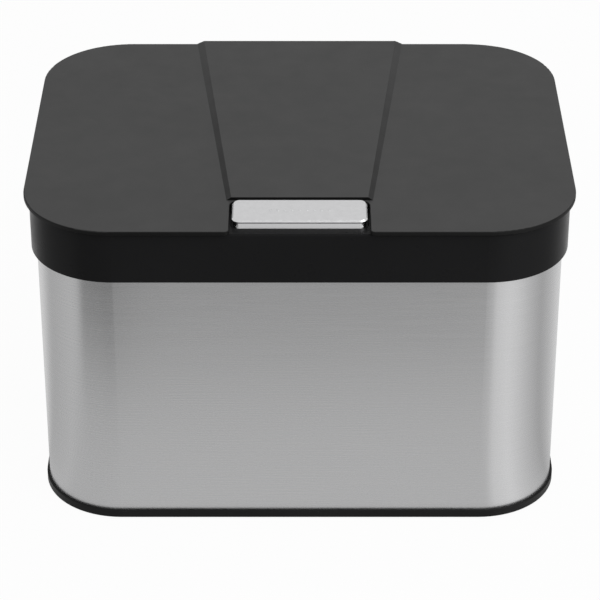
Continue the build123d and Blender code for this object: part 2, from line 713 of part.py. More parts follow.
with BuildPart() as lid_catch:
    with BuildSketch(Plane.XY.offset(catch_bottom_z)):
        with Locations((0, catch_front_y + catch_thickness / 2)):
            Rectangle(catch_width, catch_thickness)
    extrude(amount=liner_top_z + catch_thickness - catch_bottom_z)
    with BuildSketch(Plane.XY.offset(liner_top_z)):
        with Locations((0, catch_rear_y + catch_flange / 2)):
            Rectangle(catch_width, catch_flange)
    extrude(amount=catch_thickness)
    with BuildSketch(Plane.XY.offset(bolt_bottom_z - catch_window_gap)):
        with Locations((0, catch_front_y + catch_thickness / 2)):
            Rectangle(nose_width + 2 * catch_window_gap, 2 * catch_thickness)
    extrude(amount=bolt_thickness + 2 * catch_window_gap, mode=Mode.SUBTRACT)
lid_catch.part.label = "lid_catch"
export_step(lid_catch.part, "parts/lid_catch.step")

# ---- Lid screws: pan heads under the liner, tips in the cover's bosses ----
with BuildPart() as lid_screws:
    with BuildSketch(Plane.XY.offset(liner_bottom_z)):
        with Locations(lid_screw_places):
            Circle(lid_screw_radius)
    extrude(amount=liner_plate + liner_drop + lid_screw_bite - screw_fit)
    with BuildSketch(Plane.XY.offset(liner_bottom_z)):
        with Locations(lid_screw_places):
            Circle(lid_screw_head_radius)
    extrude(amount=-lid_screw_head_height)
    with BuildSketch(Plane.XY.offset(liner_bottom_z - lid_screw_head_height)):
        with Locations(lid_screw_places):
            Rectangle(2 * lid_screw_radius, screw_slot_width)
            Rectangle(screw_slot_width, 2 * lid_screw_radius)
    extrude(amount=screw_slot_depth, mode=Mode.SUBTRACT)
lid_screws.part.label = "lid_screws"
export_step(lid_screws.part, "parts/lid_screws.step")

# ---- Charcoal filter: soft pad in the liner's frame ----
with BuildPart() as charcoal_filter:
    with BuildSketch(Plane.XY.offset(filter_bottom_z)):
        with Locations((0, filter_center_y)):
            RectangleRounded(filter_width, filter_length, filter_corner_radius)
    extrude(amount=filter_thickness)
charcoal_filter.part.label = "charcoal_filter"
export_step(charcoal_filter.part, "parts/charcoal_filter.step")

# ---- Filter cover: vented door that turns on trunnions in the frame's sides ----
with BuildPart() as filter_cover:
    with BuildSketch(Plane.XY.offset(door_bottom_z)):
        with Locations((0, (door_front_y + door_axis_y) / 2)):
            Rectangle(door_width, door_axis_y - door_front_y)
        with Locations((0, door_front_y - (filter_fit + frame_wall + tab_reach) / 2)):
            Rectangle(tab_width, filter_fit + frame_wall + tab_reach)
    extrude(amount=door_thickness)
    with BuildSketch(Plane.YZ):
        with Locations((door_axis_y, door_axis_z)):
            Circle(door_thickness / 2)
    extrude(amount=door_width / 2, both=True)
    with BuildSketch(Plane.YZ):
        with Locations((door_axis_y, door_axis_z)):
            Circle(trunnion_radius)
    extrude(amount=frame_half_width, both=True)
    with BuildSketch(Plane.XY.offset(door_bottom_z)):
        with Locations((0, filter_center_y)):
            with GridLocations(vent_pitch_x, vent_pitch_y, vent_columns, vent_rows):
                SlotOverall(vent_length, vent_width)
    extrude(amount=door_thickness, mode=Mode.SUBTRACT)
filter_cover.part.label = "filter_cover"
export_step(filter_cover.part, "parts/filter_cover.step")

# ---- Push button: chromed cap, a bevelled plate with a row of pips on a set-back skirt ----
skirt_width = button_width - 2 * button_skirt_inset
skirt_radius = button_corner_radius - button_skirt_inset
skirt_rear_y = button_rear_y - button_skirt_inset
skirt_top_front_y = button_front_y + button_skirt_slope

with BuildPart() as push_button:
    with BuildSketch(Plane.XY.offset(button_plate_z)):
        with Locations((0, button_center_y)):
            RectangleRounded(button_width, button_depth, button_corner_radius)
    extrude(amount=button_wall)
    chamfer(push_button.faces().sort_by(Axis.Z)[-1].edges(), button_edge_chamfer)
    # Skirt, whose front slopes out to its lower edge
    with BuildSketch(Plane.XY.offset(button_bottom_z)):
        with Locations((0, (button_front_y + skirt_rear_y) / 2)):
            RectangleRounded(skirt_width, skirt_rear_y - button_front_y, skirt_radius)
    with BuildSketch(Plane.XY.offset(button_plate_z)):
        with Locations((0, (skirt_top_front_y + skirt_rear_y) / 2)):
            RectangleRounded(skirt_width, skirt_rear_y - skirt_top_front_y, skirt_radius)
    loft()
    with BuildSketch(Plane.XY.offset(button_bottom_z)):
        with Locations((0, button_center_y)):
            RectangleRounded(
                button_width - 2 * button_wall,
                button_depth - 2 * button_wall,
                button_corner_radius - button_wall,
            )
    extrude(amount=button_height - button_wall, mode=Mode.SUBTRACT)
    with BuildSketch(Plane.XY.offset(button_top_z)):
        with Locations((0, button_center_y)):
            with GridLocations(pip_pitch, 0, pip_count, 1):
                Circle(pip_radius)
    extrude(amount=pip_height)
push_button.part.label = "push_button"
export_step(push_button.part, "parts/push_button.step")


# ---- Button carrier: core in the cap, flange on the springs, guide posts and slanted blade ----
def blade_center_y(z):
    """Middle of the blade at height z: it leans forward as it rises."""
    return blade_y - (z - bolt_bottom_z) * blade_lean


blade_bottom_z = bolt_bottom_z - blade_end_gap
blade_knee_z = bolt_top_z + button_travel + blade_end_gap
blade_knee_y = blade_center_y(blade_knee_z)
half_blade = blade_thickness / 2

with BuildPart() as button_carrier:
    with BuildSketch(Plane.XY.offset(flange_bottom_z)):
        with Locations((0, button_center_y)):
            RectangleRounded(
                pocket_width - 2 * carrier_clearance,
                pocket_depth - 2 * carrier_clearance,
                pocket_radius - carrier_clearance,
            )
    extrude(amount=carrier_flange)
    with BuildSketch(Plane.XY.offset(button_bottom_z)):
        with Locations((0, button_center_y)):
            RectangleRounded(
                button_width - 2 * (button_wall + cap_fit),
                button_depth - 2 * (button_wall + cap_fit),
                button_corner_radius - button_wall,
            )
    extrude(amount=button_height - button_wall)
    with BuildSketch(Plane.XY.offset(flange_bottom_z)):
        with Locations((0, button_center_y)):
            with GridLocations(post_spacing, 0, 2, 1):
                Circle(post_radius)
    extrude(amount=pocket_bottom_z - post_head_gap - flange_bottom_z)
    with BuildSketch(Plane.XY.offset(pocket_bottom_z - post_head_gap)):
        with Locations((0, button_center_y)):
            with GridLocations(post_spacing, 0, 2, 1):
                Circle(post_head_radius)
    extrude(amount=-post_head_height)
    post_end_edges = button_carrier.faces().sort_by(Axis.Z)[0:2].edges()
    chamfer(post_end_edges, post_head_chamfer)
    with BuildSketch(Plane.YZ):
        with BuildLine():
            Polyline(
                (blade_center_y(blade_bottom_z) - half_blade, blade_bottom_z),
                (blade_center_y(blade_bottom_z) + half_blade, blade_bottom_z),
                (blade_knee_y + half_blade, blade_knee_z),
                (blade_knee_y + half_blade, flange_bottom_z),
                (blade_knee_y - half_blade, flange_bottom_z),
                (blade_knee_y - half_blade, blade_knee_z),
                close=True,
            )
        make_face()
    extrude(amount=blade_width / 2, both=True)
button_carrier.part.label = "button_carrier"
export_step(button_carrier.part, "parts/button_carrier.step")

# ---- Button springs: plain sleeves the size of the coils on the guide posts ----
button_spring_places = {"button_spring_left": -post_spacing / 2, "button_spring_right": post_spacing / 2}
for spring_name, spring_x in button_spring_places.items():
    with BuildPart() as button_spring:
        with BuildSketch(Plane.XY.offset(pocket_floor_z)):
            with Locations((spring_x, button_center_y)):
                Circle(spring_outer_radius)
                Circle(spring_inner_radius, mode=Mode.SUBTRACT)
        extrude(amount=flange_bottom_z - pocket_floor_z)
    button_spring.part.label = spring_name
    export_step(button_spring.part, f"parts/{spring_name}.step")

# ---- Latch bolt: slide with a slanted slot for the blade and a nose through the pocket's wall ----
slot_half = half_blade + running_fit
bolt_front_y = blade_center_y(bolt_top_z) - half_blade - bolt_tail
bolt_shoulder_y = pocket_rear_y - shoulder_gap

with BuildPart() as latch_bolt:
    with BuildSketch(Plane.XY.offset(bolt_bottom_z)):
        with Locations((0, (bolt_front_y + bolt_shoulder_y) / 2)):
            Rectangle(bolt_width, bolt_shoulder_y - bolt_front_y)
        with Locations((0, (bolt_front_y + pocket_back_face_y) / 2)):
            Rectangle(nose_width, pocket_back_face_y - bolt_front_y)
    extrude(amount=bolt_thickness)
    with BuildSketch(Plane.YZ):
        with BuildLine():
            Polyline(
                (blade_center_y(bolt_bottom_z) - slot_half, bolt_bottom_z),
                (blade_center_y(bolt_bottom_z) + slot_half, bolt_bottom_z),
                (blade_center_y(bolt_top_z) + slot_half, bolt_top_z),
                (blade_center_y(bolt_top_z) - slot_half, bolt_top_z),
                close=True,
            )
        make_face()
    extrude(amount=blade_width / 2 + running_fit, both=True, mode=Mode.SUBTRACT)
latch_bolt.part.label = "latch_bolt"
export_step(latch_bolt.part, "parts/latch_bolt.step")

# ---- Latch guide: bridge that keeps the bolt on its rails, and its two screws ----
guide_inner_width = bolt_width + 2 * running_fit
guide_outer_width = guide_inner_width + 2 * guide_leg
guide_under_z = bolt_top_z + running_fit
guide_top_z = guide_under_z + guide_thickness
guide_foot_top_z = pocket_floor_z + guide_thickness

with BuildPart() as latch_guide:
    with BuildSketch(Plane.XY.offset(pocket_floor_z)):
        with Locations((0, guide_center_y)):
            Rectangle(guide_outer_width, guide_length)
    extrude(amount=guide_top_z - pocket_floor_z)
    with BuildSketch(Plane.XY.offset(pocket_floor_z)):
        with Locations((0, guide_center_y)):
            Rectangle(guide_outer_width + 2 * guide_foot, guide_length)
    extrude(amount=guide_thickness)
    with BuildSketch(Plane.XY.offset(pocket_floor_z)):
        with Locations((0, guide_center_y)):
            Rectangle(guide_inner_width, guide_length)
    extrude(amount=guide_under_z - pocket_floor_z, mode=Mode.SUBTRACT)
    with BuildSketch(Plane.XY.offset(pocket_floor_z)):
        with Locations((0, guide_center_y)):
            with GridLocations(2 * latch_screw_x, 0, 2, 1):
                Circle(latch_screw_radius + screw_fit)
    extrude(amount=guide_thickness, mode=Mode.SUBTRACT)
latch_guide.part.label = "latch_guide"
export_step(latch_guide.part, "parts/latch_guide.step")

with BuildPart() as latch_screws:
    with BuildSketch(Plane.XY.offset(pocket_bottom_z)):
        with Locations((0, guide_center_y)):
            with GridLocations(2 * latch_screw_x, 0, 2, 1):
                Circle(latch_screw_radius)
    extrude(amount=guide_foot_top_z - pocket_bottom_z)
    with BuildSketch(Plane.XY.offset(guide_foot_top_z)):
        with Locations((0, guide_center_y)):
            with GridLocations(2 * latch_screw_x, 0, 2, 1):
                Circle(latch_screw_head_radius)
    extrude(amount=latch_screw_head_height)
latch_screws.part.label = "latch_screws"
export_step(latch_screws.part, "parts/latch_screws.step")

# ---- Hinge pin, and the lid's springs as plain sleeves the size of their coils ----
with BuildPart() as hinge_pin:
    with BuildSketch(Plane.YZ):
        with Locations((hinge_y, hinge_z)):
            Circle(pin_radius)
    extrude(amount=pin_half_length, both=True)
hinge_pin.part.label = "hinge_pin"
export_step(hinge_pin.part, "parts/hinge_pin.step")

lid_spring_starts = {
    "lid_spring_left": -spring_start_x - lid_spring_length,
    "lid_spring_right": spring_start_x,
}
for spring_name, spring_x in lid_spring_starts.items():
    with BuildPart() as lid_spring:
        with BuildSketch(Plane.YZ.offset(spring_x)):
            with Locations((hinge_y, hinge_z)):
                Circle(lid_spring_outer_radius)
                Circle(lid_spring_inner_radius, mode=Mode.SUBTRACT)
        extrude(amount=lid_spring_length)
    lid_spring.part.label = spring_name
    export_step(lid_spring.part, f"parts/{spring_name}.step")
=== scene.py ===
import math

import bmesh
import bpy
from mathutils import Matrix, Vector, noise


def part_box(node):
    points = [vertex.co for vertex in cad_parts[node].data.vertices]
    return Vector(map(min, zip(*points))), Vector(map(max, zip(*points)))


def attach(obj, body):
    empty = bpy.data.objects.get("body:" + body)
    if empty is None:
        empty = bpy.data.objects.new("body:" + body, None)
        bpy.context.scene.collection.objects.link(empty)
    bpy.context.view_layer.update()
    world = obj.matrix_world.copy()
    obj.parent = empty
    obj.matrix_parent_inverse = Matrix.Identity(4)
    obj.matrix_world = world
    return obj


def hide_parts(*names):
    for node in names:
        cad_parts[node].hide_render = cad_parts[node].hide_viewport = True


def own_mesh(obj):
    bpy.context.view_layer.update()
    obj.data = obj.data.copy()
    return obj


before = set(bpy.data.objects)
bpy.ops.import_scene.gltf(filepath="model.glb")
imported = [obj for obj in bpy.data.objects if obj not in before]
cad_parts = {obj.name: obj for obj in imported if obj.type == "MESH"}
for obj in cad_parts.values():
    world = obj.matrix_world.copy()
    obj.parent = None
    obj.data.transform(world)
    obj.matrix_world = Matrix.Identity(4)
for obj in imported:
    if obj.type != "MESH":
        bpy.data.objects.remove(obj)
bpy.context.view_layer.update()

# Lengths are in metres, in the part's own frame: the floor is z = 0 and the front faces -Y.
MM = 0.001

# ---- Camera: the photograph's viewing angle, worked out from the lid's and the base's outline ----
IMAGE_PIXELS = 600
CAMERA_PLACE = Vector((0.0, -1.14961, 0.74103))
CAMERA_TILT = math.radians(59.597)
CAMERA_LENS = 157.2
CAMERA_SENSOR = 36.0
CAMERA_SHIFT = 0.3 / IMAGE_PIXELS


def make_camera():
    data = bpy.data.cameras.new("camera")
    data.lens = CAMERA_LENS
    data.sensor_width = CAMERA_SENSOR
    data.shift_x = CAMERA_SHIFT
    camera = bpy.data.objects.new("camera", data)
    camera.location = CAMERA_PLACE
    camera.rotation_euler = (CAMERA_TILT, 0.0, 0.0)
    bpy.context.scene.collection.objects.link(camera)
    bpy.context.scene.camera = camera


# ---- Nodes ----
def add_node(tree, kind, **settings):
    node = tree.nodes.new(kind)
    for name, value in settings.items():
        setattr(node, name, value)
    return node


def link(tree, source, output, target, entry):
    tree.links.new(source.outputs[output], target.inputs[entry])


# ---- Studio: pale floor, white surroundings, soft lamps ----
FLOOR_HALF = 6.0
FLOOR_TONE = 0.9
FLOOR_GLOW = 0.96  # share of the floor's own white that the camera sees
WHITE = 1.0
WORLD_LEVEL = 0.6  # light of the surroundings
WORLD_MIRRORED = 0.82  # surroundings as glossy surfaces mirror them
MIRROR_EDGE = (0.125, 0.175)  # distance from the object where the mirrored tone changes
PLAN_HALF = Vector((0.125, 0.097))
CORNER_CENTRE = Vector((0.087, 0.059))  # middle of the shell's corner arcs
MIRROR_PEAK = 1.2  # tone that a ramp value of 1 stands for
FULL_TURN = 360  # degrees
# Painted reflection: the floor glows with these tones for glossy rays only, standing for a studio
# round the object as its metal mirrors it. Each row: angle in degrees right of the front, tone near
# the object, tone further off.
PAINTED_REFLECTION_TONES = (
    (-180, 0.92, 0.92),  # pale backdrop behind
    (-128, 0.86, 0.86),
    (-106, 0.60, 0.60),  # dimmer left side
    (-66, 0.72, 0.72),  # left panel
    (-54, 0.68, 0.68),
    (-45, 0.68, 0.26),  # dark screen left of the camera
    (-8, 0.70, 0.22),
    (0, 0.71, 0.44),  # front
    (9, 0.71, 0.50),
    (18, 0.92, 0.89),  # near edge of the right panel
    (36, 1.00, 1.00),  # right panel's middle
    (88, 0.56, 0.56),  # dimmer right side
    (128, 0.86, 0.86),
    (180, 0.92, 0.92),  # pale backdrop behind
)


def make_world():
    """White for the camera, dimmer as light, in between in reflections."""
    world = bpy.data.worlds.new("studio")
    bpy.context.scene.world = world
    world.use_nodes = True
    tree = world.node_tree
    tree.nodes.clear()
    output = add_node(tree, "ShaderNodeOutputWorld")
    mix = add_node(tree, "ShaderNodeMixShader")
    path = add_node(tree, "ShaderNodeLightPath")
    lamp = add_node(tree, "ShaderNodeBackground")
    level = add_node(tree, "ShaderNodeMapRange")
    level.inputs["To Min"].default_value = WORLD_LEVEL
    level.inputs["To Max"].default_value = WORLD_MIRRORED
    link(tree, path, "Is Glossy Ray", level, "Value")
    link(tree, level, 0, lamp, "Strength")
    seen = add_node(tree, "ShaderNodeBackground")
    seen.inputs["Strength"].default_value = WHITE
    either = add_node(tree, "ShaderNodeMath", operation="MAXIMUM")
    link(tree, path, "Is Camera Ray", either, 0)
    link(tree, path, "Is Transmission Ray", either, 1)
    link(tree, either, 0, mix, 0)
    link(tree, lamp, 0, mix, 1)
    link(tree, seen, 0, mix, 2)
    link(tree, mix, 0, output, "Surface")


def make_lamp(name, place, target, size, level):
    """A soft panel of a stated radiance."""
    data = bpy.data.lights.new(name, "AREA")
    data.shape = "RECTANGLE"
    data.size, data.size_y = size
    data.energy = level * math.pi * size[0] * size[1]
    lamp = bpy.data.objects.new(name, data)
    lamp.location = place
    aim = Vector(target) - Vector(place)
    lamp.rotation_euler = aim.to_track_quat("-Z", "Y").to_euler()
    bpy.context.scene.collection.objects.link(lamp)


def angle_ramp(tree, share, column):
    """One column of PAINTED_REFLECTION_TONES as a ramp over the angle."""
    ramp = add_node(tree, "ShaderNodeValToRGB")
    stops = ramp.color_ramp.elements
    for angle, *_ in PAINTED_REFLECTION_TONES[1:-1]:
        stops.new(angle / FULL_TURN + 0.5)
    for stop, (angle, *tones) in zip(stops, PAINTED_REFLECTION_TONES):
        stop.position = angle / FULL_TURN + 0.5
        level = tones[column] / MIRROR_PEAK
        stop.color = (level, level, level, 1)
    link(tree, share, 0, ramp, "Fac")
    return ramp


def floor_painted_reflection_tone(tree):
    """Painted reflection: the floor's glow as metal mirrors it, by the distance and angle from the
    object.
    """
    place = add_node(tree, "ShaderNodeNewGeometry")
    outside = add_node(tree, "ShaderNodeVectorMath", operation="ABSOLUTE")
    link(tree, place, "Position", outside, 0)
    beyond = add_node(tree, "ShaderNodeVectorMath", operation="SUBTRACT")
    link(tree, outside, 0, beyond, 0)
    beyond.inputs[1].default_value = (PLAN_HALF.x, PLAN_HALF.y, 0)
    clear = add_node(tree, "ShaderNodeVectorMath", operation="MAXIMUM")
    link(tree, beyond, 0, clear, 0)
    clear.inputs[1].default_value = (0, 0, 0)
    distance = add_node(tree, "ShaderNodeVectorMath", operation="LENGTH")
    link(tree, clear, 0, distance, 0)
    # Angle about the nearer corner, right of the front
    parts = add_node(tree, "ShaderNodeSeparateXYZ")
    link(tree, place, "Position", parts, 0)
    held = add_node(tree, "ShaderNodeClamp")
    held.inputs["Min"].default_value = -CORNER_CENTRE.x
    held.inputs["Max"].default_value = CORNER_CENTRE.x
    link(tree, parts, "X", held, "Value")
    sideways = add_node(tree, "ShaderNodeMath", operation="SUBTRACT")
    link(tree, parts, "X", sideways, 0)
    link(tree, held, 0, sideways, 1)
    forward = add_node(tree, "ShaderNodeMath", operation="MULTIPLY_ADD")
    link(tree, parts, "Y", forward, 0)
    forward.inputs[1].default_value = -1
    forward.inputs[2].default_value = -CORNER_CENTRE.y
    angle = add_node(tree, "ShaderNodeMath", operation="ARCTAN2")
    link(tree, sideways, 0, angle, 0)
    link(tree, forward, 0, angle, 1)
    share = add_node(tree, "ShaderNodeMapRange")
    share.inputs["From Min"].default_value = -math.pi
    share.inputs["From Max"].default_value = math.pi
    link(tree, angle, 0, share, "Value")
    fade = add_node(tree, "ShaderNodeMapRange", interpolation_type="SMOOTHSTEP")
    fade.inputs["From Min"].default_value = MIRROR_EDGE[0]
    fade.inputs["From Max"].default_value = MIRROR_EDGE[1]
    link(tree, angle_ramp(tree, share, 0), 0, fade, "To Min")
    link(tree, angle_ramp(tree, share, 1), 0, fade, "To Max")
    link(tree, distance, "Value", fade, "Value")
    scaled = add_node(tree, "ShaderNodeMath", operation="MULTIPLY")
    link(tree, fade, 0, scaled, 0)
    scaled.inputs[1].default_value = MIRROR_PEAK
    return scaled


def make_floor():
    """Pale floor: near white for the camera, and glowing with painted reflection tones for glossy
    rays.
    """
    mesh = bpy.data.meshes.new("floor")
    half = FLOOR_HALF
    corners = [(-half, -half, 0), (half, -half, 0), (half, half, 0), (-half, half, 0)]
    mesh.from_pydata(corners, [], [(0, 1, 2, 3)])
    floor = bpy.data.objects.new("floor", mesh)
    bpy.context.scene.collection.objects.link(floor)
    material = bpy.data.materials.new("floor")
    material.use_nodes = True
    tree = material.node_tree
    tree.nodes.clear()
    output = add_node(tree, "ShaderNodeOutputMaterial")
    path = add_node(tree, "ShaderNodeLightPath")
    diffuse = add_node(tree, "ShaderNodeBsdfDiffuse")
    diffuse.inputs["Color"].default_value = (FLOOR_TONE, FLOOR_TONE, FLOOR_TONE, 1)
    white = add_node(tree, "ShaderNodeEmission")
    white.inputs["Strength"].default_value = WHITE
    share = add_node(tree, "ShaderNodeMath", operation="MULTIPLY")
    share.inputs[1].default_value = FLOOR_GLOW
    link(tree, path, "Is Camera Ray", share, 0)
    seen = add_node(tree, "ShaderNodeMixShader")
    link(tree, share, 0, seen, 0)
    link(tree, diffuse, 0, seen, 1)
    link(tree, white, 0, seen, 2)
    # Painted reflection: the floor glows with the studio tones, seen by glossy rays only
    mirrored = add_node(tree, "ShaderNodeEmission")
    link(tree, floor_painted_reflection_tone(tree), 0, mirrored, "Strength")
    whole = add_node(tree, "ShaderNodeMixShader")
    link(tree, path, "Is Glossy Ray", whole, 0)
    link(tree, seen, 0, whole, 1)
    link(tree, mirrored, 0, whole, 2)
    link(tree, whole, 0, output, "Surface")
    mesh.materials.append(material)


# ---- Materials ----
EDGE_RADIUS = 0.25 * MM
NOISE_MIDDLE = (0.3, 0.7)  # range that a noise mostly covers
COLOR_A, COLOR_B, COLOR_OUT = 6, 7, 2  # colour sockets of the Mix node
# Mouldings: noise cells per metre for tone, gloss and grain, and how deep the grain is
CLOUD_SCALE = 18.0
SHINE_SCALE = 90.0
SHINE_SWING = 0.04
GRAIN_SCALE = 2200.0
GRAIN_STRENGTH = 0.12
GRAIN_DEPTH = 0.2 * MM
# Painted shade on the lid: its tone by how far a face looks upward, darker as a face tilts away from
# the top: upright edge, panel's slopes, top
LID_PAINTED_SHADE_TONES = ((0.0, 0.004), (0.5, 0.006), (0.79, 0.014), (0.87, 0.034), (0.93, 0.062), (0.99, 0.070))
LID_CLOUD_SWING = 0.04
LID_GLOSS = 0.52
LID_SPECULAR = 0.2
# Brushed sheet: noise cells per metre along x, y and z, far closer across the brushing
STREAKS = (25.0, 25.0, 3000.0)
STREAK_SWING = 0.05
STREAK_STRENGTH = 0.03
BRUSH_ANISOTROPY = 0.8
BRUSH_QUARTER_TURN = 0.25
METAL_DEPTH = 0.1 * MM
# Plated cap and small steel parts
PLATE_CLOUD_SCALE = 300.0
PLATE_SWING = 0.03
PLATE_GRAIN_SCALE = 3000.0
PLATE_DEPTH = 0.05 * MM
PLATE_EDGE = 0.3 * MM
WEAR_SCALE = 400.0
WEAR_SWING = 0.08
WEAR_STRENGTH = 0.05
WEAR_EDGE = 0.15 * MM


def new_material(name, metallic=False):
    """A node material with its tree and its shader."""
    material = bpy.data.materials.new(name)
    material.use_nodes = True
    tree = material.node_tree
    shader = tree.nodes["Principled BSDF"]
    if metallic:
        shader.inputs["Metallic"].default_value = 1.0
    return material, tree, shader


def object_noise(tree, scale, detail=3.0, roughness=0.55, stretch=(1, 1, 1)):
    """Noise on the object's own coordinates, stretched along the axes."""
    place = add_node(tree, "ShaderNodeTexCoord")
    mapping = add_node(tree, "ShaderNodeMapping")
    mapping.inputs["Scale"].default_value = stretch
    noise_node = add_node(tree, "ShaderNodeTexNoise")
    noise_node.inputs["Scale"].default_value = scale
    noise_node.inputs["Detail"].default_value = detail
    noise_node.inputs["Roughness"].default_value = roughness
    link(tree, place, "Object", mapping, "Vector")
    link(tree, mapping, "Vector", noise_node, "Vector")
    return noise_node


def spread(tree, source, low, high):
    """Maps a noise's usual range on low to high."""
    ranged = add_node(tree, "ShaderNodeMapRange")
    ranged.inputs["From Min"].default_value = NOISE_MIDDLE[0]
    ranged.inputs["From Max"].default_value = NOISE_MIDDLE[1]
    ranged.inputs["To Min"].default_value = low
    ranged.inputs["To Max"].default_value = high
    link(tree, source, 0, ranged, "Value")
    return ranged


def uneven_gloss(tree, shader, source, middle, swing):
    """Roughness that wanders about its middle, by a noise."""
    link(tree, spread(tree, source, middle - swing, middle + swing), 0, shader, "Roughness")


def tint(tree, shader, source, low, high):
    """Base colour between two tones, by a noise."""
    blend = add_node(tree, "ShaderNodeMix", data_type="RGBA")
    blend.inputs[COLOR_A].default_value = (*low, 1)
    blend.inputs[COLOR_B].default_value = (*high, 1)
    link(tree, spread(tree, source, 0.0, 1.0), 0, blend, 0)
    link(tree, blend, COLOR_OUT, shader, "Base Color")


def surface(tree, shader, source, strength, depth, edge=EDGE_RADIUS):
    """Rounds the edges a little and puts a relief on the surface."""
    relief = add_node(tree, "ShaderNodeBump")
    relief.inputs["Strength"].default_value = strength
    relief.inputs["Distance"].default_value = depth
    link(tree, source, 0, relief, "Height")
    if edge:
        rounding = add_node(tree, "ShaderNodeBevel")
        rounding.samples = 4
        rounding.inputs["Radius"].default_value = edge
        link(tree, rounding, 0, relief, "Normal")
    link(tree, relief, "Normal", shader, "Normal")


def moulded_skin(tree, shader, gloss, specular):
    """Uneven gloss and a fine spark-eroded grain, as every moulding here has."""
    uneven_gloss(tree, shader, object_noise(tree, SHINE_SCALE, detail=5.0), gloss, SHINE_SWING)
    shader.inputs["Specular IOR Level"].default_value = specular
    grain = object_noise(tree, GRAIN_SCALE, detail=2.0)
    surface(tree, shader, grain, GRAIN_STRENGTH, GRAIN_DEPTH)


def moulded(name, low, high, gloss, specular):
    """Moulded plastic, rubber or felt with a cloudy tone."""
    material, tree, shader = new_material(name)
    tint(tree, shader, object_noise(tree, CLOUD_SCALE), low, high)
    moulded_skin(tree, shader, gloss, specular)
    return material


def lid_plastic_with_painted_shade():
    """The lid's grey plastic with painted shade: its slopes are painted darker than its top and its
    upright edge near black, by how far each face looks upward.
    """
    material, tree, shader = new_material("lid_grey")
    place = add_node(tree, "ShaderNodeTexCoord")
    facing = add_node(tree, "ShaderNodeSeparateXYZ")
    link(tree, place, "Normal", facing, 0)
    # Painted shade: the base colour falls as the face's normal tilts away from upward
    ramp = add_node(tree, "ShaderNodeValToRGB")
    stops = ramp.color_ramp.elements
    for upward, _ in LID_PAINTED_SHADE_TONES[1:-1]:
        stops.new(upward)
    for stop, (upward, level) in zip(stops, LID_PAINTED_SHADE_TONES):
        stop.position = upward
        stop.color = (level, level, level, 1)
    link(tree, facing, "Z", ramp, "Fac")
    cloud = object_noise(tree, CLOUD_SCALE)
    share = spread(tree, cloud, 1 - LID_CLOUD_SWING, 1 + LID_CLOUD_SWING)
    tone = add_node(tree, "ShaderNodeVectorMath", operation="SCALE")
    link(tree, ramp, 0, tone, 0)
    link(tree, share, 0, tone, "Scale")
    link(tree, tone, 0, shader, "Base Color")
    moulded_skin(tree, shader, LID_GLOSS, LID_SPECULAR)
    return material


def brushed(name, low, high, roughness):
    """Sheet steel brushed level all round: long streaks, blur across the brushing."""
    material, tree, shader = new_material(name, metallic=True)
    streaks = object_noise(tree, 1.0, detail=5.0, roughness=0.7, stretch=STREAKS)
    tint(tree, shader, streaks, low, high)
    uneven_gloss(tree, shader, streaks, roughness, STREAK_SWING)
    shader.inputs["Anisotropic"].default_value = BRUSH_ANISOTROPY
    shader.inputs["Anisotropic Rotation"].default_value = BRUSH_QUARTER_TURN
    tangent = add_node(tree, "ShaderNodeTangent", direction_type="RADIAL", axis="Z")
    link(tree, tangent, 0, shader, "Tangent")
    surface(tree, shader, streaks, STREAK_STRENGTH, METAL_DEPTH, edge=0)
    return material


def plated(name, low, high, roughness):
    """Satin chrome with a faint grain."""
    material, tree, shader = new_material(name, metallic=True)
    cloud = object_noise(tree, PLATE_CLOUD_SCALE)
    tint(tree, shader, cloud, low, high)
    uneven_gloss(tree, shader, cloud, roughness, PLATE_SWING)
    grain = object_noise(tree, PLATE_GRAIN_SCALE)
    surface(tree, shader, grain, PLATE_SWING, PLATE_DEPTH, PLATE_EDGE)
    return material


def plain_metal(name, low, high, roughness):
    """Small steel parts, dulled unevenly."""
    material, tree, shader = new_material(name, metallic=True)
    wear = object_noise(tree, WEAR_SCALE)
    tint(tree, shader, wear, low, high)
    uneven_gloss(tree, shader, wear, roughness, WEAR_SWING)
    surface(tree, shader, wear, WEAR_STRENGTH, METAL_DEPTH, WEAR_EDGE)
    return material


def dress(material, *names):
    """Puts a material on CAD nodes."""
    for name in names:
        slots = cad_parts[name].data.materials
        slots.clear()
        slots.append(material)


# Mouldings: name, darkest and lightest tone, roughness, specular level, CAD nodes
MOULDINGS = (
    ("collar_black", (0.0115, 0.0115, 0.012), (0.013, 0.013, 0.0135), 0.3, 0.07, ("collar",)),
    ("base_black", (0.010, 0.010, 0.010), (0.013, 0.013, 0.013), 0.4, 0.12, ("base_tray",)),
    (
        "inner_black", (0.008, 0.008, 0.008), (0.011, 0.011, 0.011), 0.45, 0.12,
        ("lid_liner", "filter_cover", "button_carrier", "latch_guide"),
    ),
    ("bucket_grey", (0.040, 0.040, 0.042), (0.050, 0.050, 0.052), 0.42, 0.3, ("inner_bucket",)),
    ("seal_rubber", (0.10, 0.10, 0.10), (0.12, 0.12, 0.12), 0.6, 0.3, ("lid_seal",)),
    (
        "foot_rubber", (0.02, 0.02, 0.02), (0.03, 0.03, 0.03), 0.7, 0.3,
        ("foot_front_left", "foot_front_right", "foot_rear_left", "foot_rear_right"),
    ),
    ("mechanism_white", (0.56, 0.56, 0.54), (0.60, 0.60, 0.58), 0.4, 0.4, ("latch_bolt",)),
)


def dress_all():
    """Dresses the CAD nodes that stay visible."""
    for name, low, high, gloss, specular, nodes in MOULDINGS:
        dress(moulded(name, low, high, gloss, specular), *nodes)
    dress(lid_plastic_with_painted_shade(), "lid_cover")
    shell = brushed("brushed_shell", (0.57, 0.57, 0.575), (0.61, 0.61, 0.615), 0.27)
    dress(shell, "steel_shell")
    chrome = plated("button_chrome", (0.86, 0.86, 0.87), (0.90, 0.90, 0.91), 0.22)
    dress(chrome, "push_button")


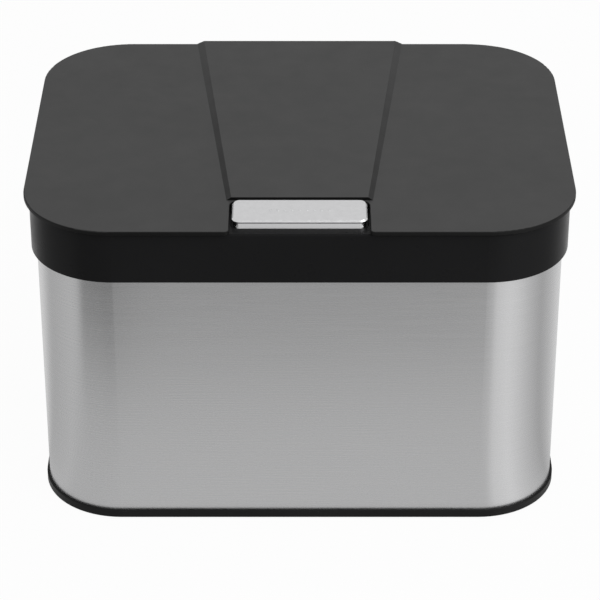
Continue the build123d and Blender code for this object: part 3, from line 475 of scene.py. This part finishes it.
# ---- Pieces that take the place of plain CAD solids ----
def add_piece(name, points, faces, material, slot, body, *nodes):
    """Links a mesh that rides on a body and stands for CAD nodes."""
    mesh = bpy.data.meshes.new(name)
    mesh.from_pydata(points, [], faces)
    shell = bmesh.new()
    shell.from_mesh(mesh)
    bmesh.ops.recalc_face_normals(shell, faces=shell.faces)
    shell.to_mesh(mesh)
    shell.free()
    mesh.shade_smooth()
    mesh.materials.append(material)
    piece = bpy.data.objects.new(name, mesh)
    bpy.context.scene.collection.objects.link(piece)
    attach(piece, body)
    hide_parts(*nodes)
    return piece


def wire(path, radius, sides=10):
    """Points and faces of a closed round wire along a path."""
    points, faces = [], []
    last = len(path) - 1
    across = None
    for index, point in enumerate(path):
        along = (path[min(index + 1, last)] - path[max(index - 1, 0)]).normalized()
        if across is None:
            across = along.orthogonal()
        across = (across - along * across.dot(along)).normalized()
        other = along.cross(across)
        for side in range(sides):
            turn = 2 * math.pi * side / sides
            points.append(point + radius * (math.cos(turn) * across + math.sin(turn) * other))
    for ring in range(last):
        for side in range(sides):
            near, far = ring * sides, (ring + 1) * sides
            step = (side + 1) % sides
            faces.append((near + side, near + step, far + step, far + side))
    faces.append(tuple(reversed(range(sides))))
    faces.append(tuple(last * sides + side for side in range(sides)))
    return points, faces


HANDS = ("left", "right")
TURN_STEPS = 28  # points per turn of a coil
PRESS_TURNS = 7
PRESS_WIRE = 0.4 * MM
PRESS_CLOSED = 1.0  # turns that lie close at each end
PRESS_FILL = 2 * PRESS_WIRE  # rise of one closed turn


def press_spring(name, node, material):
    """Compression spring on a button post, its end turns closed."""
    low, high = (Vector(corner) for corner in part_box(node))
    centre = (low + high) / 2
    mean = (high.x - low.x) / 2 - PRESS_WIRE
    bottom, top = low.z + PRESS_WIRE, high.z - PRESS_WIRE
    open_rise = top - bottom - 2 * PRESS_FILL * PRESS_CLOSED
    most_open = PRESS_TURNS - 2 * PRESS_CLOSED
    steps = PRESS_TURNS * TURN_STEPS
    path = []
    for step in range(steps + 1):
        turn = PRESS_TURNS * step / steps
        open_turns = min(max(turn - PRESS_CLOSED, 0), most_open)
        rise = PRESS_FILL * (turn - open_turns) + open_rise * open_turns / most_open
        angle = 2 * math.pi * turn
        x = centre.x + mean * math.cos(angle)
        y = centre.y + mean * math.sin(angle)
        path.append(Vector((x, y, bottom + rise)))
    spring = add_piece(name, *wire(path, PRESS_WIRE), material, "steel_parts", "root", node)
    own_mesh(spring)


TORSION_WIRE = 0.36 * MM
TORSION_TURNS = 16
LEG_FORWARD = 5.0 * MM
LEG_DROP = 2.6 * MM
LEG_SHAPE = ((1.0, 1.0), (0.7, 0.75), (0.35, 0.2))  # shares of the leg's reach and drop, from its tip


def torsion_spring(name, node, material):
    """Coil on the hinge pin with a leg that bears on the collar's deck."""
    low, high = (Vector(corner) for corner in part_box(node))
    centre = (low + high) / 2
    side = 1 if centre.x > 0 else -1
    mean = (high.z - low.z) / 2 - TORSION_WIRE
    inner_x = min(abs(low.x), abs(high.x)) + TORSION_WIRE
    outer_x = max(abs(low.x), abs(high.x)) - TORSION_WIRE
    start = Vector((side * inner_x, centre.y, centre.z - mean))
    path = [start + Vector((0, -LEG_FORWARD * out, -LEG_DROP * down)) for out, down in LEG_SHAPE]
    steps = TORSION_TURNS * TURN_STEPS
    for step in range(steps + 1):
        angle = 2 * math.pi * TORSION_TURNS * step / steps
        along = side * (inner_x + (outer_x - inner_x) * step / steps)
        y = centre.y + mean * math.sin(angle)
        z = centre.z - mean * math.cos(angle)
        path.append(Vector((along, y, z)))
    add_piece(name, *wire(path, TORSION_WIRE), material, "steel_parts", "root", node)


PAD_GRID = (96, 64, 8)  # faces of the pad along x, y and z
PAD_CROWN = 0.7 * MM  # sides fall this much below the middle
PAD_FUZZ = 0.22 * MM
PAD_FUZZ_SCALE = 900  # fuzz cells per metre
PAD_FUZZ_BIAS = 0.6  # keeps the fuzz inside the pad's box
PAD_SIDE_MARGIN = 0.3 * MM
PAD_FACE_MARGIN = 0.1 * MM
PAD_SIDE_REACH = 0.97  # share of the half width from where the sides are softened
PAD_SOFTENING = 0.035
MERGE_DISTANCE = 1e-5


def unit_block(block):
    """Gives an empty bmesh the skin of a block that reaches 1 from its middle each way."""
    bmesh.ops.create_grid(block, x_segments=PAD_GRID[0], y_segments=PAD_GRID[1], size=1.0)
    top_faces = list(block.faces)
    ring = [edge for edge in block.edges if edge.is_boundary]
    for vert in block.verts:
        vert.co.z = 1
    for level in range(1, PAD_GRID[2] + 1):
        made = bmesh.ops.extrude_edge_only(block, edges=ring)["geom"]
        ring = [item for item in made if isinstance(item, bmesh.types.BMEdge) and item.is_boundary]
        for vert in {vert for edge in ring for vert in edge.verts}:
            vert.co.z = 1 - 2 * level / PAD_GRID[2]
    for item in bmesh.ops.duplicate(block, geom=top_faces)["geom"]:
        if isinstance(item, bmesh.types.BMVert):
            item.co.z = -1
    bmesh.ops.remove_doubles(block, verts=block.verts, dist=MERGE_DISTANCE)


def felt_pad(material):
    """Charcoal pad: a needled felt block with soft edges and a crowned top."""
    low, high = (Vector(corner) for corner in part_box("charcoal_filter"))
    centre, half = (low + high) / 2, (high - low) / 2
    block = bmesh.new()
    unit_block(block)
    for vert in block.verts:
        x, y, z = vert.co
        reach = max(abs(x), abs(y))
        soften = 1 - PAD_SOFTENING * abs(z) ** 3 if reach > PAD_SIDE_REACH else 1
        crown = PAD_CROWN * (x ** 4 + y ** 4) / 2
        cell = Vector((x * half.x, y * half.y, z * half.z)) * PAD_FUZZ_SCALE
        fuzz = PAD_FUZZ * (noise.noise(cell) - PAD_FUZZ_BIAS)
        fuzz_x = fuzz * x if reach == abs(x) else 0
        fuzz_y = fuzz * y if reach == abs(y) else 0
        vert.co = Vector((
            centre.x + (half.x * soften - PAD_SIDE_MARGIN) * x + fuzz_x,
            centre.y + (half.y * soften - PAD_SIDE_MARGIN) * y + fuzz_y,
            centre.z + (half.z - crown - PAD_FACE_MARGIN) * z + fuzz * z,
        ))
    block.verts.index_update()
    points = [vert.co.copy() for vert in block.verts]
    faces = [tuple(vert.index for vert in face.verts) for face in block.faces]
    block.free()
    pad = add_piece("felt_pad", points, faces, material, "filter_pad", "lid", "charcoal_filter")


# Soft lamps: name, place, target, size and radiance
LAMPS = (
    ("overhead", (0.9, -0.75, 1.25), (0, 0, 0.1), (1.8, 0.9), 1.7),
    ("right", (0.75, -0.62, 0.35), (0, 0, 0.1), (0.25, 0.6), 0.8),
)

make_camera()
make_world()
make_floor()
for lamp in LAMPS:
    make_lamp(*lamp)

dress_all()
steel_finish = plain_metal("steel_parts", (0.40, 0.40, 0.41), (0.50, 0.50, 0.51), 0.32)
dress(steel_finish, "lid_screws", "lid_catch", "latch_screws", "hinge_pin")
for hand in HANDS:
    press_spring("button_coil_" + hand, "button_spring_" + hand, steel_finish)
for hand in HANDS:
    torsion_spring("lid_coil_" + hand, "lid_spring_" + hand, steel_finish)
felt_pad(moulded("filter_pad", (0.012, 0.012, 0.012), (0.03, 0.03, 0.03), 0.9, 0.1))

bpy.context.scene.view_settings.view_transform = "Standard"
